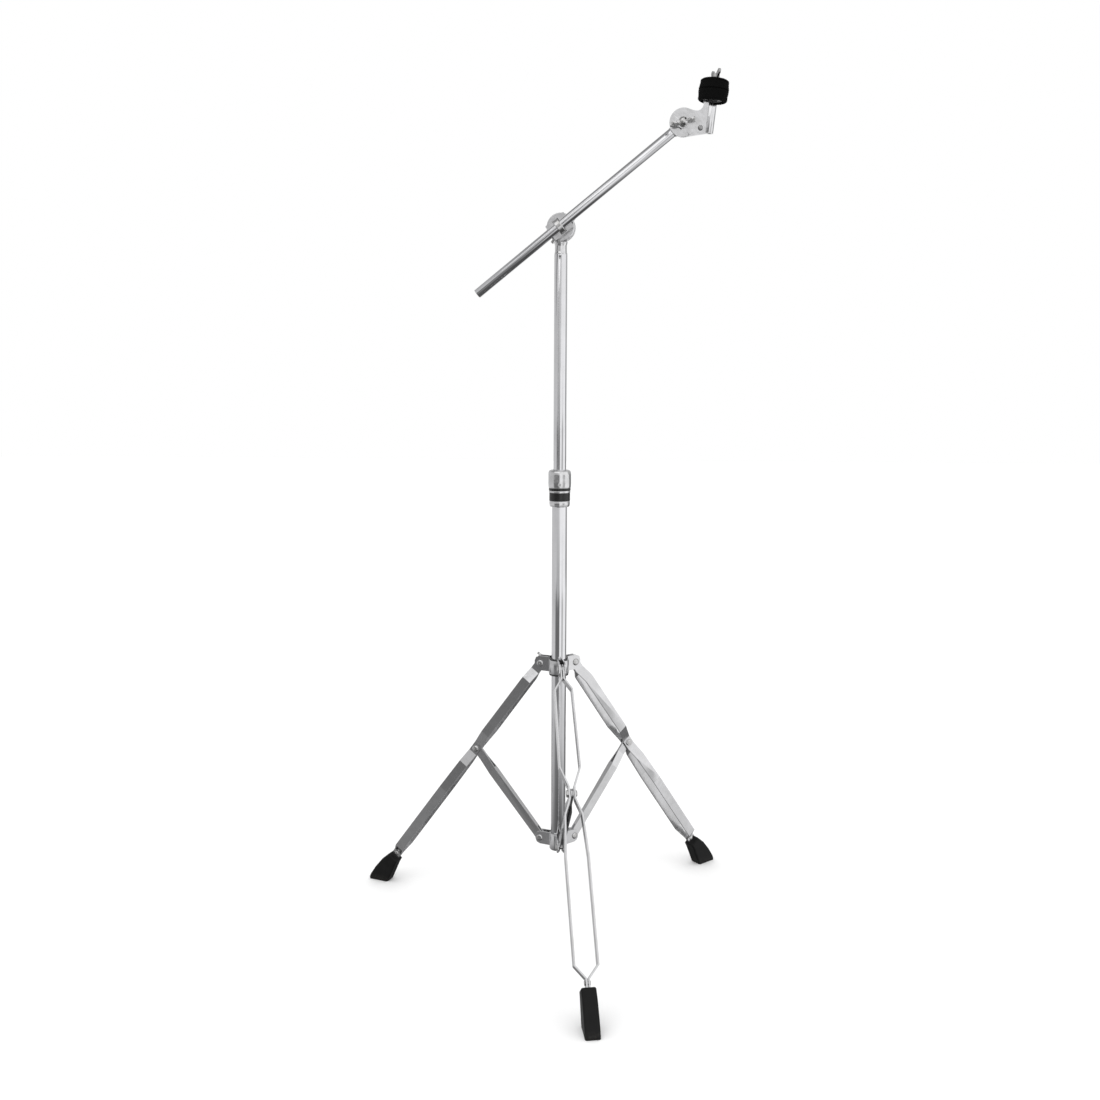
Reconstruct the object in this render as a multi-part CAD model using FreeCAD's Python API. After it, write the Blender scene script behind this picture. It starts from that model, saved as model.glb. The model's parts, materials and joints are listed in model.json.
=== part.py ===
import FreeCAD, Part
import math
import os

# Cymbal boom stand: double-braced folding tripod, two-section column, tilting boom and cymbal seat.
# Millimetres, +Z up. The shapes are made round the column's axis, and export() moves them so that
# the origin is the middle of the footprint at floor level.

# ---- driving dimensions ----
AXIS_AT = (23.9, 46.4)  # place of the column's axis in x and y, from the middle of the footprint
LEG_TURNS = {"front": -79.9, "right": 40.1, "left": 160.1}  # direction of each leg about Z, degrees
MAST_TURN = -6.0  # swivel of everything above the height collar, degrees

LOWER_R = 9.5
LOWER_WALL = 1.2
LOWER_Z0 = 96.9
LOWER_Z1 = 572.3

MIDDLE_R = 7.95
MIDDLE_WALL = 1.2
MIDDLE_Z0 = 419.0
MIDDLE_Z1 = 854.6

COLLAR_Z0 = 548.0  # height collar
COLLAR_Z1 = 593.4
CLAMP_Z = 582.8  # height clamp bolt
BAND_UPPER = (19.9, 23.1)  # grooves for the two bands, above COLLAR_Z0
BAND_LOWER = (7.0, 17.5)

PIVOT_R = 24.4  # distance of leg and brace pivots from the axis
LEG_PIVOT_Z = 343.2
BRACE_PIVOT_Z = 105.2
LEG_ANGLE = 36.2  # from vertical
MID_AT = 158.7  # leg pivot to middle joint, along the leg
LEG_END = 408.0  # leg pivot to the strips' lower ends
FOOT_RIVET_AT = 372.2
STRIP_W = 12.4
STRIP_T = 2.0
BRACE_W = 12.0
BRACE_T = 1.3

EAR_T = 1.6
LEG_EAR_GAP = 2.8  # half the gap between a leg's ears
BRACE_EAR_GAP = 3.1
BUSH_R = 11.35
PLATE_T = 1.6
LEG_RIVET_R = 2.6
BRACE_RIVET_R = 2.4
SCREW_TURN = 120.0  # direction of the leg collar's clamp screw about Z

TILT_Z = 886.0  # boom tilter's axis height
TILT_R = 16.8
BOOM_Y = -14.9  # boom axis in front of the column axis
BOOM_SLOPE = 38.0
BOOM_R = 5.55
BOOM_WALL = 1.2
EYE_R = 9.2  # eyebolt's eye round the boom
BOOM_BACK = -127.5  # boom tube ends, measured along it from the tilter axis
BOOM_FRONT = 167.0
TIP_AT = 183.5  # cymbal tilter axis, along the boom

ROD_LEAN = 6.0  # cymbal rod, from vertical towards +X
ROD_FOOT = (28.7, -12.2)  # bottom of the arm's sleeve from the cymbal tilter axis, in x and z
ARM_SLEEVE_R = 5.5
ARM_SLEEVE_H = 36.0
ROD_Y = -16.4
SET_SCREW = (-9.6, 4.4)  # place in the arm's web, from the sleeve's foot, in x and z along the rod
FELT_R = 17.3

MID_R = PIVOT_R + MID_AT * math.sin(math.radians(LEG_ANGLE))
MID_Z = LEG_PIVOT_Z - MID_AT * math.cos(math.radians(LEG_ANGLE))
BRACE_LEN = math.hypot(MID_R - PIVOT_R, MID_Z - BRACE_PIVOT_Z)
BRACE_ANGLE = math.degrees(math.atan2(MID_R - PIVOT_R, MID_Z - BRACE_PIVOT_Z))

X = FreeCAD.Vector(1, 0, 0)
Y = FreeCAD.Vector(0, 1, 0)
Z = FreeCAD.Vector(0, 0, 1)
ORIGIN = FreeCAD.Vector(0, 0, 0)


# ---- small helpers ----
def vec(x, y, z):
    return FreeCAD.Vector(x, y, z)


def export(name, *solids):
    """Write one node; several solids become a compound."""
    placed = [moved(solid, AXIS_AT[0], AXIS_AT[1], 0) for solid in solids]
    shape = placed[0] if len(placed) == 1 else Part.makeCompound(placed)
    shape.exportStep(os.path.join("parts", name + ".step"))


def rotated(shape, angle, axis=Z, centre=ORIGIN):
    """A copy turned about an axis through centre."""
    copy = shape.copy()
    copy.rotate(centre, axis, angle)
    return copy


def moved(shape, x, y, z):
    copy = shape.copy()
    copy.translate(vec(x, y, z))
    return copy


def cylinder(radius, start, length, axis=Z):
    return Part.makeCylinder(radius, length, start, axis)


def ring(outer, inner, start, length, axis=Z):
    return cylinder(outer, start, length, axis).cut(cylinder(inner, start, length, axis))


def box(x0, x1, y0, y1, z0, z1):
    return Part.makeBox(x1 - x0, y1 - y0, z1 - z0, vec(x0, y0, z0))


def turned_profile(points):
    """Solid of revolution about Z from (radius, z) points."""
    wire = Part.makePolygon([vec(r, 0, z) for r, z in points + points[:1]])
    return Part.Face(wire).revolve(ORIGIN, Z, 360)


def prism_xz(points, y0, y1):
    """Polygon of (x, z) points between two y planes."""
    wire = Part.makePolygon([vec(x, y0, z) for x, z in points + points[:1]])
    return Part.Face(wire).extrude(vec(0, y1 - y0, 0))


def prism_xy(points, z0, z1):
    """Polygon of (x, y) points between two z planes."""
    wire = Part.makePolygon([vec(x, y, z0) for x, y in points + points[:1]])
    return Part.Face(wire).extrude(vec(0, 0, z1 - z0))


def fused(first, *others):
    shape = first
    for other in others:
        shape = shape.fuse(other)
    return shape.removeSplitter()


def softened(shape, radius, chosen):
    """Fillet the edges for which chosen(edge) is true."""
    edges = [e for e in shape.Edges if chosen(e)]
    return shape.makeFillet(radius, edges)


def offset_line(points, distance):
    """The polyline shifted sideways by distance, with mitred corners."""
    result = []
    for i, (x, y) in enumerate(points):
        before = points[max(i - 1, 0)]
        after = points[min(i + 1, len(points) - 1)]
        directions = []
        for a, b in ((before, (x, y)), ((x, y), after)):
            length = math.hypot(b[0] - a[0], b[1] - a[1])
            if length > 0:
                directions.append(((b[0] - a[0]) / length, (b[1] - a[1]) / length))
        normals = [(-d[1], d[0]) for d in directions]
        nx = sum(n[0] for n in normals) / len(normals)
        ny = sum(n[1] for n in normals) / len(normals)
        scale = distance / (nx * nx + ny * ny)
        result.append((x + nx * scale, y + ny * scale))
    return result


def ribbon(points, thickness, width):
    """A flat strip bent along (s, lateral) points: local X along it, local Z across its width."""
    outline = points + offset_line(points, thickness)[::-1]
    solid = prism_xy(outline, -width / 2, width / 2)
    return solid


def round_plan(s0, s1, width, round_end):
    """Plan outline of a strip between s0 and s1, used to round its start and maybe its end."""
    half = width / 2
    plan = box(s0 + half, s1 - (half if round_end else 0), -30, 30, -half, half)
    plan = plan.fuse(cylinder(half, vec(s0 + half, -30, 0), 60, Y))
    if round_end:
        plan = plan.fuse(cylinder(half, vec(s1 - half, -30, 0), 60, Y))
    return plan


def on_leg(shape):
    """From strip coordinates (X down the leg from its pivot) to the leg's place along +X."""
    placed = rotated(shape, 90 - LEG_ANGLE, Y)
    return moved(placed, PIVOT_R, 0, LEG_PIVOT_Z)


def on_brace(shape):
    """From brace coordinates (X down the brace from the middle joint) to its place along +X."""
    placed = rotated(shape, 90 + BRACE_ANGLE, Y)
    return moved(placed, MID_R, 0, MID_Z)


def on_boom(shape):
    """From boom coordinates (X along the boom, origin at the tilter axis) to the mast's frame."""
    placed = rotated(shape, -BOOM_SLOPE, Y)
    return moved(placed, 0, BOOM_Y, TILT_Z)


def on_rod(shape):
    """From rod coordinates (Z up the cymbal rod, origin at the arm sleeve's foot) to the mast's frame."""
    tip_x = TIP_AT * math.cos(math.radians(BOOM_SLOPE))
    tip_z = TILT_Z + TIP_AT * math.sin(math.radians(BOOM_SLOPE))
    placed = rotated(shape, ROD_LEAN, Y)
    return moved(placed, tip_x + ROD_FOOT[0], ROD_Y, tip_z + ROD_FOOT[1])


def swivelled(shape):
    return rotated(shape, MAST_TURN)


def wing_blades(span, height, lobe, thickness, root_r, root_z):
    """Two upswept wings in the XZ plane, for a nut or bolt whose axis is Z."""
    half = span / 2
    blades = []
    for side in (1, -1):
        lobe_x = side * (half - lobe)
        points = [
            (side * root_r * 0.3, 0.5),
            (side * root_r, 0.0),
            (lobe_x + side * lobe * 0.9, height - lobe * 1.5),
            (lobe_x - side * lobe * 0.8, height - lobe * 0.5),
            (side * root_r * 0.3, root_z),
        ]
        blade = prism_xz(points, -thickness / 2, thickness / 2)
        tip = cylinder(lobe, vec(lobe_x, -thickness / 2, height - lobe), thickness, Y)
        blades.append(blade.fuse(tip))
    return blades


def dished_head(radius, height, start, axis):
    """Low domed rivet head standing on a face at start."""
    points = [(0, 0), (radius, 0), (radius, height * 0.35), (radius * 0.72, height * 0.85), (0, height)]
    head = turned_profile(points)
    head.Placement = FreeCAD.Placement(start, FreeCAD.Rotation(Z, axis))
    return head


def hexagon(radius, start, length, axis):
    corners = [
        (radius * math.cos(math.radians(60 * i)), radius * math.sin(math.radians(60 * i)))
        for i in range(6)
    ]
    nut = prism_xy(corners, 0, length)
    nut.Placement = FreeCAD.Placement(start, FreeCAD.Rotation(Z, axis))
    return nut


def toothed(disc, count, radius, inner, face_y, depth, inwards):
    """Cut radial grooves into a disc's face; inwards is the y direction into the metal."""
    for i in range(count):
        half = math.pi * radius / count / 2
        points = [(inner, -0.15), (radius + 1, -half), (radius + 1, half), (inner, 0.15)]
        y1 = face_y + inwards * depth
        groove = prism_xz(points, min(face_y, y1), max(face_y, y1))
        disc = disc.cut(rotated(groove, 360.0 * i / count, Y))
    return disc


# ---- column ----
def lower_tube():
    tube = ring(LOWER_R, LOWER_R - LOWER_WALL, vec(0, 0, LOWER_Z0), LOWER_Z1 - LOWER_Z0)
    return tube


def tube_plug():
    plug = cylinder(LOWER_R - LOWER_WALL - 0.05, vec(0, 0, LOWER_Z0 - 1), 13)
    rim = cylinder(LOWER_R - 0.2, vec(0, 0, LOWER_Z0 - 2.6), 2.55)
    rim = softened(rim, 1.0, lambda e: abs(e.CenterOfMass.z - (LOWER_Z0 - 2.6)) < 0.01 and e.Length > 50)
    return fused(plug, rim)


def height_collar():
    """Cast sleeve on the lower tube's top, grooved for the two bands, with the clamp bolt's boss."""
    bore = BUSH_R - 0.3
    low, high = COLLAR_Z0, COLLAR_Z1
    upper = [low + z for z in BAND_UPPER]
    lower = [low + z for z in BAND_LOWER]
    points = [
        (MIDDLE_R + 0.6, high), (11.8, high), (13.4, high - 0.9), (14.2, high - 3.1), (14.3, high - 16.4),
        (14.0, upper[1] + 0.7), (13.7, upper[1]), (12.9, upper[1]), (12.9, upper[0]), (13.5, upper[0]),
        (13.5, lower[1]), (12.2, lower[1]), (12.2, lower[0]), (12.9, lower[0]), (12.9, low + 2.8), (12.3, low),
        (LOWER_R + 0.02, low), (LOWER_R + 0.02, LOWER_Z1 + 0.1), (bore, LOWER_Z1 + 0.1),
        (bore, high - 1.4), (MIDDLE_R + 0.6, high - 1.4),
    ]
    body = turned_profile(points)
    boss = cylinder(6.2, vec(0, 12.0, CLAMP_Z), 7.5, Y)
    body = body.fuse(boss)
    body = body.cut(cylinder(3.08, vec(0, 8.0, CLAMP_Z), 14, Y))
    body = body.cut(cylinder(1.3, vec(0, -16.0, COLLAR_Z1 - 17.4), 3.6, Y))
    return body.removeSplitter()


def collar_band(groove, inner, outer):
    """Plain band let into the collar's groove."""
    z0 = COLLAR_Z0 + groove[0] + 0.05
    z1 = COLLAR_Z0 + groove[1] - 0.05
    points = [(inner, z0), (outer - 0.15, z0), (outer, z0 + 0.3), (outer, z1 - 0.3), (outer - 0.15, z1), (inner, z1)]
    return turned_profile(points)


def height_bushing():
    """Split nylon guide between the height collar and the middle tube."""
    outer = BUSH_R - 0.33
    sleeve = ring(outer, MIDDLE_R + 0.06, vec(0, 0, LOWER_Z1 + 0.3), COLLAR_Z1 - 1.6 - LOWER_Z1 - 0.3)
    sleeve = sleeve.cut(cylinder(3.3, vec(0, 4.0, CLAMP_Z), 10, Y))
    return sleeve.cut(box(-12.5, -6.0, -0.6, 0.6, LOWER_Z1, COLLAR_Z1))


def height_wing_bolt():
    """Clamp bolt behind the collar, wings upright."""
    hub = turned_profile([(0, 0), (5.6, 0), (5.0, 2.0), (4.6, 9.0), (3.8, 10.0), (0, 10.0)])
    bolt = fused(hub, *wing_blades(38.0, 15.0, 6.0, 2.6, 5.0, 8.0))
    bolt = bolt.fuse(cylinder(3.0, vec(0, 0, -11.5), 11.8))
    bolt = rotated(bolt, 90, Z)
    bolt = rotated(bolt, -90, X)
    return moved(bolt, 0, 19.9, CLAMP_Z)


# ---- collars of the tripod ----
def ear(gap, z0, z1, x0, x1, hole_r, hole_z):
    """Flat ear beside the +X plane, on its +Y side, with a rounded outer end."""
    height = z1 - z0
    corner = min(6.5, height / 2 - 0.5)
    points = [(x0, z0), (x1 - corner, z0), (x1 - corner * 0.3, z0 + corner * 0.3), (x1, z0 + corner),
              (x1, z1 - corner), (x1 - corner * 0.3, z1 - corner * 0.3), (x1 - corner, z1), (x0, z1)]
    plate = prism_xz(points, gap, gap + EAR_T)
    return plate.cut(cylinder(hole_r, vec(PIVOT_R, gap - 1, hole_z), EAR_T + 2, Y))


def collar_plate(inner, gap, z0, z1, ear_z0, ear_z1, reach, hole_r, hole_z):
    """Pressed plate from one leg round to the next (120 degrees on), with an ear at each end."""
    side = 200.0
    shell = ring(inner + PLATE_T, inner, vec(0, 0, z0), z1 - z0)
    shell = shell.common(box(-side, side, gap, side, z0 - 1, z1 + 1))
    far = rotated(box(-side, side, -side, -gap, z0 - 1, z1 + 1), 120)
    shell = shell.common(far)
    start = math.sqrt(inner * inner - gap * gap) + 0.02
    first = ear(gap, ear_z0, ear_z1, start, reach, hole_r, hole_z)
    second = rotated(first.mirror(ORIGIN, Y), 120)
    return fused(shell, first, second)


def leg_collar_plate():
    z = LEG_PIVOT_Z
    return collar_plate(BUSH_R + 0.02, LEG_EAR_GAP, z - 11, z + 7, z - 9.5, z + 9.5, 32.0, LEG_RIVET_R + 0.02, z)


def brace_collar_plate():
    z = BRACE_PIVOT_Z
    plate = collar_plate(LOWER_R + 0.02, BRACE_EAR_GAP, z - 12, z + 10.2, z - 8.4, z + 8.9, 30.4,
                         BRACE_RIVET_R + 0.02, z)
    return plate


def screw_boss():
    """Boss on the back plate for the leg collar's clamp screw."""
    boss = cylinder(5.4, vec(BUSH_R + 0.6, 0, LEG_PIVOT_Z - 2), 8.0, X)
    return rotated(boss, SCREW_TURN)


def screw_hole():
    hole = cylinder(3.08, vec(6.0, 0, LEG_PIVOT_Z - 2), 18.0, X)
    return rotated(hole, SCREW_TURN)


def leg_collar_bushing():
    z = LEG_PIVOT_Z
    sleeve = ring(BUSH_R, LOWER_R + 0.07, vec(0, 0, z - 12), 20)
    lip = ring(BUSH_R + 1.0, LOWER_R + 0.07, vec(0, 0, z - 13.2), 1.5)
    return fused(sleeve, lip).cut(screw_hole())


def leg_collar_screw():
    """T-shaped clamp screw, wings tilted."""
    hub = turned_profile([(0, 0), (5.2, 0), (4.8, 7.0), (3.8, 8.5), (0, 8.5)])
    screw = fused(hub, *wing_blades(35.0, 11.0, 4.6, 2.6, 4.6, 6.5))
    screw = screw.fuse(cylinder(3.0, vec(0, 0, -16.7), 17.0))
    screw = rotated(screw, 130, Z)
    screw = rotated(screw, 90, Y)
    return rotated(moved(screw, 26.5, 0, LEG_PIVOT_Z - 2), SCREW_TURN)


def ear_rivet(radius, gap, height):
    """Rivet through a pair of ears and what turns between them, along Y."""
    half = gap + EAR_T
    shank = cylinder(radius, vec(PIVOT_R, -half - 0.2, height), 2 * half + 0.4, Y)
    left = dished_head(radius + 1.9, 1.7, vec(PIVOT_R, -half - 0.02, height), vec(0, -1, 0))
    right = dished_head(radius + 1.9, 1.7, vec(PIVOT_R, half + 0.02, height), vec(0, 1, 0))
    return fused(shank, left, right)


# ---- legs, braces and feet ----
STRIP_LINE = [
    (-STRIP_W / 2, 0.5), (14.2, 0.5), (28.3, 9.7), (127.3, 11.4), (MID_AT - 7.5, 2.4), (MID_AT + 7.5, 2.4),
    (185.0, 9.4), (234.0, 12.5), (353.4, 12.6), (367.8, 0.5), (LEG_END, 0.5),
]


def leg_strip():
    """One pressed strip of a leg, on the +Y side."""
    strip = ribbon(STRIP_LINE, STRIP_T, STRIP_W)
    strip = strip.common(round_plan(-STRIP_W / 2, LEG_END, STRIP_W, False))
    strip = strip.cut(cylinder(LEG_RIVET_R + 0.08, vec(0, -1, 0), 6, Y))
    strip = strip.cut(cylinder(2.52, vec(MID_AT, 1, 0), 6, Y))
    return strip.cut(cylinder(2.02, vec(FOOT_RIVET_AT, -1, 0), 6, Y))


def pinch_bolt():
    """Bolt head with its stub in one strip, and nut with its stub in the other."""
    stub = cylinder(2.5, vec(MID_AT, 2.42, 0), 2.3, Y)
    head = dished_head(4.3, 2.4, vec(MID_AT, 4.42, 0), vec(0, 1, 0))
    other = cylinder(2.5, vec(MID_AT, -6.9, 0), 4.48, Y)
    nut = hexagon(4.5, vec(MID_AT, -4.42, 0), 2.2, vec(0, -1, 0))
    return fused(stub, head), fused(other, nut)


def foot_rivet():
    shank = cylinder(2.0, vec(FOOT_RIVET_AT, -2.9, 0), 5.8, Y)
    left = dished_head(3.0, 1.3, vec(FOOT_RIVET_AT, -2.55, 0), vec(0, -1, 0))
    right = dished_head(3.0, 1.3, vec(FOOT_RIVET_AT, 2.55, 0), vec(0, 1, 0))
    return fused(shank, left, right)


def rubber_foot():
    """Boot on a leg's end, standing flat on the floor, with a pocket for the strips."""
    half = 8.9
    points = [(241.3, 32.4), (252.8, 42.7), (264.9, 32.9), (276.2, 19.4), (284.3, 7.2), (286.3, 2.7),
              (286.3, 0.0), (256.7, 0.0), (255.4, 2.7), (245.1, 25.7)]
    boot = prism_xz(points, -half, half)
    boot = softened(boot, 2.5, lambda e: abs(abs(e.CenterOfMass.y) - half) < 0.01 and e.CenterOfMass.z > 0.5)
    pocket = box(360.0, LEG_END + 0.3, -STRIP_T - 0.55, STRIP_T + 0.55, -STRIP_W / 2 - 0.05, STRIP_W / 2 + 0.05)
    rivet_room = cylinder(3.3, vec(FOOT_RIVET_AT, -12, 0), 24, Y)
    boot = boot.cut(on_leg(pocket)).cut(on_leg(rivet_room))
    return boot.common(box(200, 350, -20, 20, 0, 80))


BRACE_LINE = [(-6.0, 0.2), (17.0, 0.2), (38.0, 2.5), (BRACE_LEN - 8.0, 1.5), (BRACE_LEN + 6.0, 1.5)]


def brace():
    """Pressed channel: two flanges that close up at the middle joint, and a web between them."""
    flange = ribbon(BRACE_LINE, BRACE_T, BRACE_W)
    flange = flange.common(round_plan(-6.0, BRACE_LEN + 6.0, BRACE_W, True))
    mirrored = flange.mirror(ORIGIN, Y)
    outer = offset_line(BRACE_LINE, BRACE_T)
    edge = [(35.0, outer[2][1] - 0.35), outer[2], (BRACE_LEN - 13.0, outer[3][1] + 0.05)]
    outline = edge + [(x, -y) for x, y in edge[::-1]]
    web = prism_xy(outline, -BRACE_W / 2, -BRACE_W / 2 + BRACE_T)
    channel = fused(flange, web, mirrored)
    channel = channel.cut(cylinder(BRACE_RIVET_R + 0.08, vec(BRACE_LEN, -6, 0), 12, Y))
    return channel.cut(cylinder(2.6, vec(0, -6, 0), 12, Y))


# ---- mast ----
def middle_tube():
    tube = ring(MIDDLE_R, MIDDLE_R - MIDDLE_WALL, vec(0, 0, MIDDLE_Z0), MIDDLE_Z1 - MIDDLE_Z0)
    return tube.cut(cylinder(1.5, vec(0, -12, MIDDLE_Z1 - 4.8), 10, Y))


def middle_glide():
    """Plastic guide turned into the middle tube's lower end."""
    inner = MIDDLE_R - MIDDLE_WALL - 0.06
    plug = ring(inner, 4.6, vec(0, 0, MIDDLE_Z0 - 0.3), 14)
    rim = ring(LOWER_R - LOWER_WALL - 0.08, 4.6, vec(0, 0, MIDDLE_Z0 - 8.3), 8.0)
    return fused(plug, rim)


def tilter_rear():
    """Neck and rear toothed disc of the boom tilter; its spigot sits in the middle tube."""
    spigot = cylinder(MIDDLE_R - MIDDLE_WALL - 0.02, vec(0, 0, MIDDLE_Z1 - 24), 24.2)
    low = MIDDLE_Z1
    neck = turned_profile([(0, low + 0.05), (7.75, low + 0.05), (7.75, low + 1.4), (7.3, low + 2.0),
                           (7.2, low + 10.2), (8.2, TILT_Z - TILT_R - 0.5), (0, TILT_Z - TILT_R - 0.5)])
    disc = cylinder(TILT_R, vec(0, 0.2, TILT_Z), 7.8, Y)
    hub = cylinder(9.0, vec(0, 7.5, TILT_Z), 3.0, Y)
    web = box(-7.2, 7.2, 0.6, 7.3, TILT_Z - TILT_R - 1.5, TILT_Z)
    rear = fused(disc, hub, web, neck, spigot)
    teeth = toothed(moved(disc, 0, 0, -TILT_Z), 24, TILT_R, 9.0, 0.2, 1.1, 1)
    rear = rear.cut(moved(moved(disc, 0, 0, -TILT_Z).cut(teeth), 0, 0, TILT_Z))
    rear = rear.cut(cylinder(3.98, vec(0, -2, TILT_Z), 20, Y))
    return rear.cut(cylinder(1.5, vec(0, -12, MIDDLE_Z1 - 4.8), 7.4, Y))


def tilter_front():
    """Front toothed disc with the saddle that the boom lies in."""
    disc = cylinder(TILT_R, vec(0, -6.0, 0), 5.8, Y)
    disc = toothed(disc, 24, TILT_R, 9.0, -0.2, 1.1, -1)
    disc = softened(disc, 0.8, lambda e: abs(e.CenterOfMass.y + 6.0) < 0.01 and e.Length > 60)
    block = box(-13.8, 13.8, -13.5, -5.5, -10.5, 10.5)
    block = block.common(cylinder(TILT_R, vec(0, -14.0, 0), 10, Y))
    front = rotated(fused(disc, block), BOOM_SLOPE, Y)
    # the saddle, the eye's pocket and the stem's hole are cut with the boom along X
    front = rotated(front, -BOOM_SLOPE, Y)
    front = front.cut(cylinder(BOOM_R + 0.08, vec(-40, BOOM_Y, 0), 80, X))
    front = front.cut(box(-40, 40, BOOM_Y - 2, BOOM_Y, -BOOM_R - 0.08, BOOM_R + 0.08))
    front = front.cut(cylinder(EYE_R + 0.4, vec(-3.9, BOOM_Y, 0), 7.8, X))
    front = front.cut(box(-3.9, 3.9, BOOM_Y - 2, BOOM_Y, -EYE_R - 0.4, EYE_R + 0.4))
    front = front.cut(cylinder(4.0, vec(0, -15, 0), 20, Y))
    front = moved(front, 0, -BOOM_Y, 0)
    return on_boom(front)


def eyebolt():
    """Eye round the boom, stem through both discs."""
    eye = ring(EYE_R, BOOM_R + 0.08, vec(-3.4, 0, 0), 6.8, X)
    eye = softened(eye, 0.9, lambda e: abs(e.Length - 2 * math.pi * EYE_R) < 0.1)
    stem = cylinder(3.9, vec(0, 8.0, 0), 20.4, Y)
    tip = cylinder(3.1, vec(0, 28.3, 0), 2.2, Y)
    return on_boom(fused(eye, stem, tip))


def tilter_washer():
    return ring(7.4, 3.98, vec(0, 10.6, TILT_Z), 1.4, Y)


def tilter_wing_nut():
    """Large wing nut behind the boom tilter."""
    hub = turned_profile([(0, 0), (7.2, 0), (7.2, 1.5), (6.0, 3.0), (5.2, 12.5), (4.8, 13.0), (0, 13.0)])
    nut = fused(hub, *wing_blades(43.0, 15.0, 5.2, 3.0, 6.4, 10.5))
    nut = nut.cut(cylinder(3.98, vec(0, 0, -1), 30))
    nut = rotated(nut, -47, Z)
    nut = rotated(nut, -90, X)
    return moved(nut, 0, 12.35, TILT_Z)


# ---- boom and cymbal arm ----
def boom_tube():
    tube = ring(BOOM_R, BOOM_R - BOOM_WALL, vec(BOOM_BACK, 0, 0), BOOM_FRONT - BOOM_BACK, X)
    tube = tube.cut(cylinder(1.1, vec(BOOM_FRONT - 7.5, -8, 0.6), 5, Y))
    return on_boom(tube)


def boom_tip():
    """Ferrule on the boom's front end, stepped down to a toothed half disc behind the arm."""
    spigot = cylinder(BOOM_R - BOOM_WALL - 0.02, vec(BOOM_FRONT - 22, 0, 0), 22.2, X)
    collar = turned_profile([(0, 0), (6.1, 0), (6.1, 1.3), (5.5, 2.1), (5.5, 7.2), (0, 7.2)])
    collar = rotated(collar, 90, Y)
    collar = moved(collar, BOOM_FRONT + 0.05, 0, 0)
    neck = box(BOOM_FRONT + 1, TIP_AT, 0.4, 5.4, -5.8, 5.8)
    disc = cylinder(14.8, vec(TIP_AT, 0.25, 0), 5.3, Y)
    disc = moved(toothed(moved(disc, -TIP_AT, 0, 0), 20, 14.8, 7.5, 0.25, 1.0, 1), TIP_AT, 0, 0)
    tip = fused(spigot, collar, neck, disc)
    # room for the arm's disc to turn
    clear = cylinder(16.6, vec(TIP_AT, -12, 0), 12.2, Y)
    tip = tip.cut(clear)
    return on_boom(tip.cut(cylinder(3.08, vec(TIP_AT, -2, 0), 12, Y)))


def arm_outline():
    """Outline of the arm's web in x and z from the cymbal tilter axis."""
    lean = math.tan(math.radians(ROD_LEAN))
    foot_x, foot_z = ROD_FOOT
    top = 35.4
    points = [(-3.2, -15.8), (1.0, -16.0), (9.6, -14.6), (foot_x - 5.0, foot_z - 0.7), (foot_x, foot_z)]
    points.append((foot_x + top * lean, foot_z + top))
    curve = [(22.0, 23.4), (22.8, 20.4), (22.5, 17.6), (21.3, 15.2), (19.4, 13.4), (16.8, 12.4), (14.0, 12.4),
             (10.4, 13.4), (5.0, 15.2)]
    return points + curve


def cymbal_arm():
    """Casting: toothed disc, web and upright sleeve for the rod."""
    disc = cylinder(16.0, vec(0, -6.6, 0), 6.35, Y)
    disc = disc.cut(prism_xz([(-1.7, -5.0), (-2.9, -20), (-20, -20), (-20, -1.7), (-10.6, -4.5)], -10, -2.4))
    disc = toothed(disc, 20, 16.0, 7.5, -0.25, 1.0, -1)
    web = prism_xz(arm_outline(), -5.8, -0.4)
    web = web.cut(cylinder(7.4, vec(0, -0.9, 0), 2, Y))
    web = web.cut(cylinder(16.1, vec(0, -1.4, 0), 3, Y))
    boss = cylinder(7.0, vec(0, -7.6, 0), 2.0, Y)
    casting = fused(disc, web, boss)
    casting = casting.cut(cylinder(3.2, vec(0, -20, 0), 30, Y))
    tip_x = TIP_AT * math.cos(math.radians(BOOM_SLOPE))
    tip_z = TILT_Z + TIP_AT * math.sin(math.radians(BOOM_SLOPE))
    casting = moved(casting, tip_x, BOOM_Y, tip_z)
    sleeve = cylinder(ARM_SLEEVE_R, ORIGIN, ARM_SLEEVE_H)
    casting = fused(casting, on_rod(sleeve))
    casting = casting.cut(on_rod(cylinder(3.02, vec(0, 0, -5), 60)))
    return casting.cut(on_rod(cylinder(1.52, vec(SET_SCREW[0], -9.0, SET_SCREW[1]), 18.0, Y)))


def set_screw():
    """Small screw low in the casting's web, beside the sleeve."""
    shank = cylinder(1.5, vec(SET_SCREW[0], -4.5, SET_SCREW[1]), 4.6, Y)
    head = dished_head(2.9, 2.2, vec(SET_SCREW[0], -4.4, SET_SCREW[1]), vec(0, -1, 0))
    head = head.cut(box(SET_SCREW[0] - 0.4, SET_SCREW[0] + 0.4, -8, -5.8, 0, 12))
    return on_rod(fused(shank, head))


def tip_wing_screw():
    """Wing screw in front of the cymbal tilter."""
    hub = turned_profile([(0, 0), (5.4, 0), (5.2, 4.5), (4.0, 6.0), (2.6, 7.6), (0, 8.0)])
    screw = fused(hub, *wing_blades(28.0, 9.6, 3.9, 2.4, 4.8, 5.5))
    screw = screw.fuse(cylinder(3.0, vec(0, 0, -12.6), 12.9))
    screw = rotated(screw, 12, Z)
    screw = rotated(screw, 90, X)
    tip_x = TIP_AT * math.cos(math.radians(BOOM_SLOPE))
    tip_z = TILT_Z + TIP_AT * math.sin(math.radians(BOOM_SLOPE))
    return moved(screw, tip_x, BOOM_Y - 7.95, tip_z)


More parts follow.
